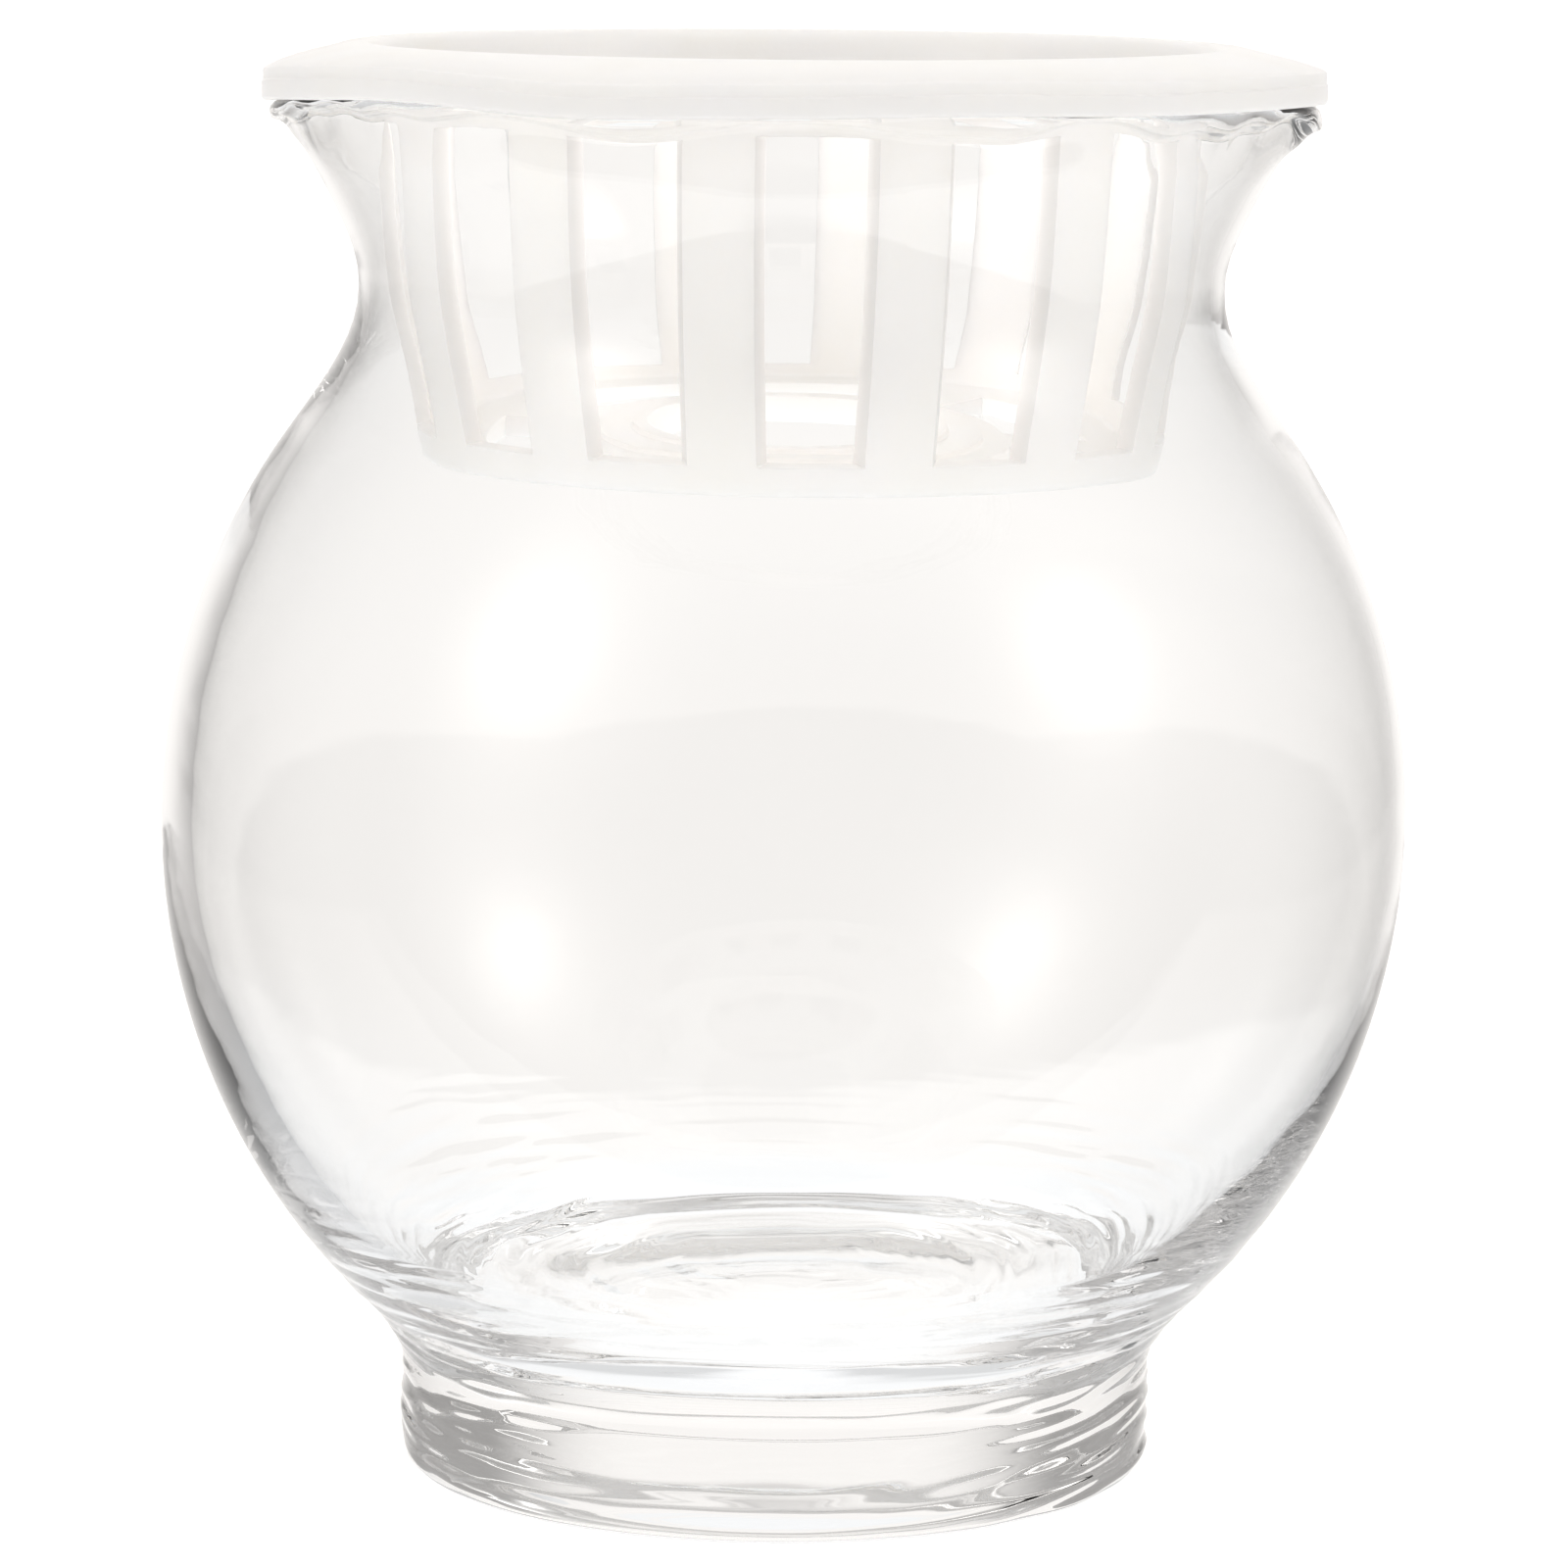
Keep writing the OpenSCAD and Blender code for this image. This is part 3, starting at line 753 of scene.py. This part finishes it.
# Only for scattered light: a fill through the glass, less of it from behind, and outside the glass a
# softbox overhead and a faint sky
FILL, FILL_SPAN = 0.86, (0.6, 0.3)
FILL_BEHIND, FILL_BEHIND_SPAN = 0.8, (-0.2, 0.8)
SOFTBOX, SOFTBOX_SPAN = 1.4, (0.72, 1)
SKY, SKY_SPAN = 0.055, (0, 0.2)

# What the camera sees past the floor, and the light's colours, warm above and neutral from the table
HORIZON = 1.3
WARM, NEUTRAL, NEUTRAL_SPAN = (1, 0.972, 0.948, 1), (0.985, 0.992, 1, 1), (-0.22, -0.5)

FLOOR_GLOW, FLOOR_GLOW_SEEN = 0.4, 0.6
FLOOR_HALF, FLOOR_Z = 8.0, -0.0001
BOUNCES = 48


def reflected_level(nodes, direction, facing, is_deep):
    """The white table and backdrop, and the dim room beside and behind the camera."""
    x, y, z = direction
    beside = nodes.ramp(facing, BACKDROP_SPAN)
    wall = nodes.mix(BACKDROP, nodes.mix(SIDES, DEEP_SIDES, is_deep), beside)
    wall = nodes.mix(wall, nodes.mix(ROOM, DEEP_ROOM, is_deep), nodes.ramp(facing, ROOM_SPAN))
    wall = nodes.mix(wall, OVERHEAD, nodes.ramp(z, CEILING_SPAN))

    table = nodes.mix(nodes.ramp(z, TABLE_SPAN, TABLE_LOW, TABLE_STEEP), DEEP_TABLE, is_deep)
    table = nodes.mix(BACKDROP, table, beside)
    nearness = nodes.mix(-TABLE_FRONT, -DEEP_TABLE_FRONT, is_deep)
    front = nodes.maths("MULTIPLY", nodes.maths("MINIMUM", y, 0), nearness)
    ends = nodes.maths("MULTIPLY", nodes.maths("ABSOLUTE", x), TABLE_ENDS)
    edge = nodes.maths("ADD", z, nodes.maths("MAXIMUM", front, ends))
    return nodes.mix(table, wall, nodes.ramp(edge, TABLE_EDGE_SPAN))


def surround_level(nodes, z, facing):
    """What is seen straight through the glass."""
    level = nodes.mix(BACKDROP, SURROUND, nodes.ramp(facing, SURROUND_SPAN))
    level = nodes.maths("ADD", level, nodes.ramp(z, NEAR_SPAN, 0, TABLE_NEAR))
    return nodes.maths("ADD", level, nodes.ramp(z, UPPER_SPAN, 0, UPPER_LIFT))


def lamp_level(nodes, where, azimuth, elevation):
    """A soft round lamp: a bright core in a wider glow."""
    a, e = math.radians(azimuth), math.radians(elevation)
    aim = (math.sin(a) * math.cos(e), -math.cos(a) * math.cos(e), math.sin(e))
    away = nodes.maths("SUBTRACT", nodes.vector("DOT_PRODUCT", where, aim), 1)
    parts = []
    for strength, width in (LAMP_CORE, LAMP_GLOW):
        spread = 1 - math.cos(math.radians(width))
        fall = nodes.maths("EXPONENT", nodes.maths("DIVIDE", away, spread))
        parts.append(nodes.maths("MULTIPLY", fall, strength))
    return nodes.maths("ADD", *parts)


def scattered_level(nodes, z, facing, is_through):
    """Extra light that only scattered rays see, through the glass and outside it."""
    behind = nodes.ramp(facing, FILL_BEHIND_SPAN, 1, FILL_BEHIND)
    fill = nodes.maths("MULTIPLY", nodes.ramp(z, FILL_SPAN, 0, FILL), behind)
    sky = nodes.maths("ADD", nodes.ramp(z, SOFTBOX_SPAN, 0, SOFTBOX), nodes.ramp(z, SKY_SPAN, 0, SKY))
    return nodes.mix(sky, fill, is_through)


def make_world():
    """A plain studio: a bright surround through the glass, and a dimmer room in its reflections."""
    world = bpy.data.worlds.new("studio")
    bpy.context.scene.world = world
    world.use_nodes = True
    nodes = Nodes(world.node_tree)
    background = world.node_tree.nodes["Background"]
    where = nodes.new("TexCoord").outputs["Generated"]
    split = nodes.new("SeparateXYZ")
    nodes.put(where, split.inputs[0])
    x, y, z = split.outputs
    across = nodes.maths("SQRT", nodes.maths("SUBTRACT", 1.0001, nodes.maths("MULTIPLY", z, z)))
    facing = nodes.maths("DIVIDE", y, across)

    # which rays have passed through the glass, deeply or without a reflection, and which are scattered
    path = nodes.new("LightPath")
    passes = path.outputs["Transmission Depth"]
    is_through = nodes.maths("GREATER_THAN", passes, 1.5)
    is_deep = nodes.maths("GREATER_THAN", passes, 2.5)
    is_unreflected = nodes.maths("LESS_THAN", path.outputs["Glossy Depth"], 0.5)
    is_clear = nodes.maths("MULTIPLY", is_through, is_unreflected)
    is_scattered = nodes.maths("GREATER_THAN", path.outputs["Diffuse Depth"], 0.5)

    level = reflected_level(nodes, (x, y, z), facing, is_deep)
    level = nodes.mix(level, surround_level(nodes, z, facing), is_clear)
    for azimuth, elevation in LAMPS:
        level = nodes.maths("ADD", level, lamp_level(nodes, where, azimuth, elevation))
    scattered = nodes.maths("MULTIPLY", is_scattered, scattered_level(nodes, z, facing, is_through))
    level = nodes.maths("ADD", level, scattered)
    level = nodes.mix(level, HORIZON, path.outputs["Is Camera Ray"])
    nodes.put(level, background.inputs["Strength"])
    colour = nodes.mix_colours(WARM, NEUTRAL, nodes.ramp(z, NEUTRAL_SPAN))
    nodes.put(colour, background.inputs["Color"])


def floor_material():
    """A matt pale floor that looks a little whiter than the light it gives the flange's underside."""
    material, nodes, shader = new_material(
        "pale_floor", Base_Color=(0.9, 0.9, 0.9, 1), Roughness=1, Specular_IOR_Level=0,
        Emission_Color=(1, 1, 1, 1))
    glow = nodes.new("MapRange")
    glow.inputs["To Min"].default_value = FLOOR_GLOW
    glow.inputs["To Max"].default_value = FLOOR_GLOW_SEEN
    nodes.put(nodes.new("LightPath").outputs["Is Camera Ray"], glow.inputs["Value"])
    nodes.put(glow.outputs["Result"], shader.inputs["Emission Strength"])
    return material


def make_floor():
    corners = [(x * FLOOR_HALF, y * FLOOR_HALF, 0) for x, y in ((-1, -1), (1, -1), (1, 1), (-1, 1))]
    floor = bpy.data.objects.new("floor", bpy.data.meshes.new("floor"))
    floor.data.from_pydata(corners, [], [(0, 1, 2, 3)])
    floor.location.z = FLOOR_Z
    bpy.context.scene.collection.objects.link(floor)
    floor.data.materials.append(floor_material())
    floor.visible_glossy = False
    floor.visible_transmission = False


# ---------------------------------------------------------------- assembly

bpy.context.scene.camera = make_camera()
scene = bpy.context.scene
scene.view_settings.view_transform = "Standard"
scene.cycles.max_bounces = BOUNCES
scene.cycles.transmission_bounces = BOUNCES
scene.cycles.glossy_bounces = BOUNCES
make_world()
make_floor()

vase = make_vase(glass_material())
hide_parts("glass_vase")
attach(vase, "vase")

basket = make_basket(plastic_material())
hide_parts("planting_basket")
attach(basket, "basket")
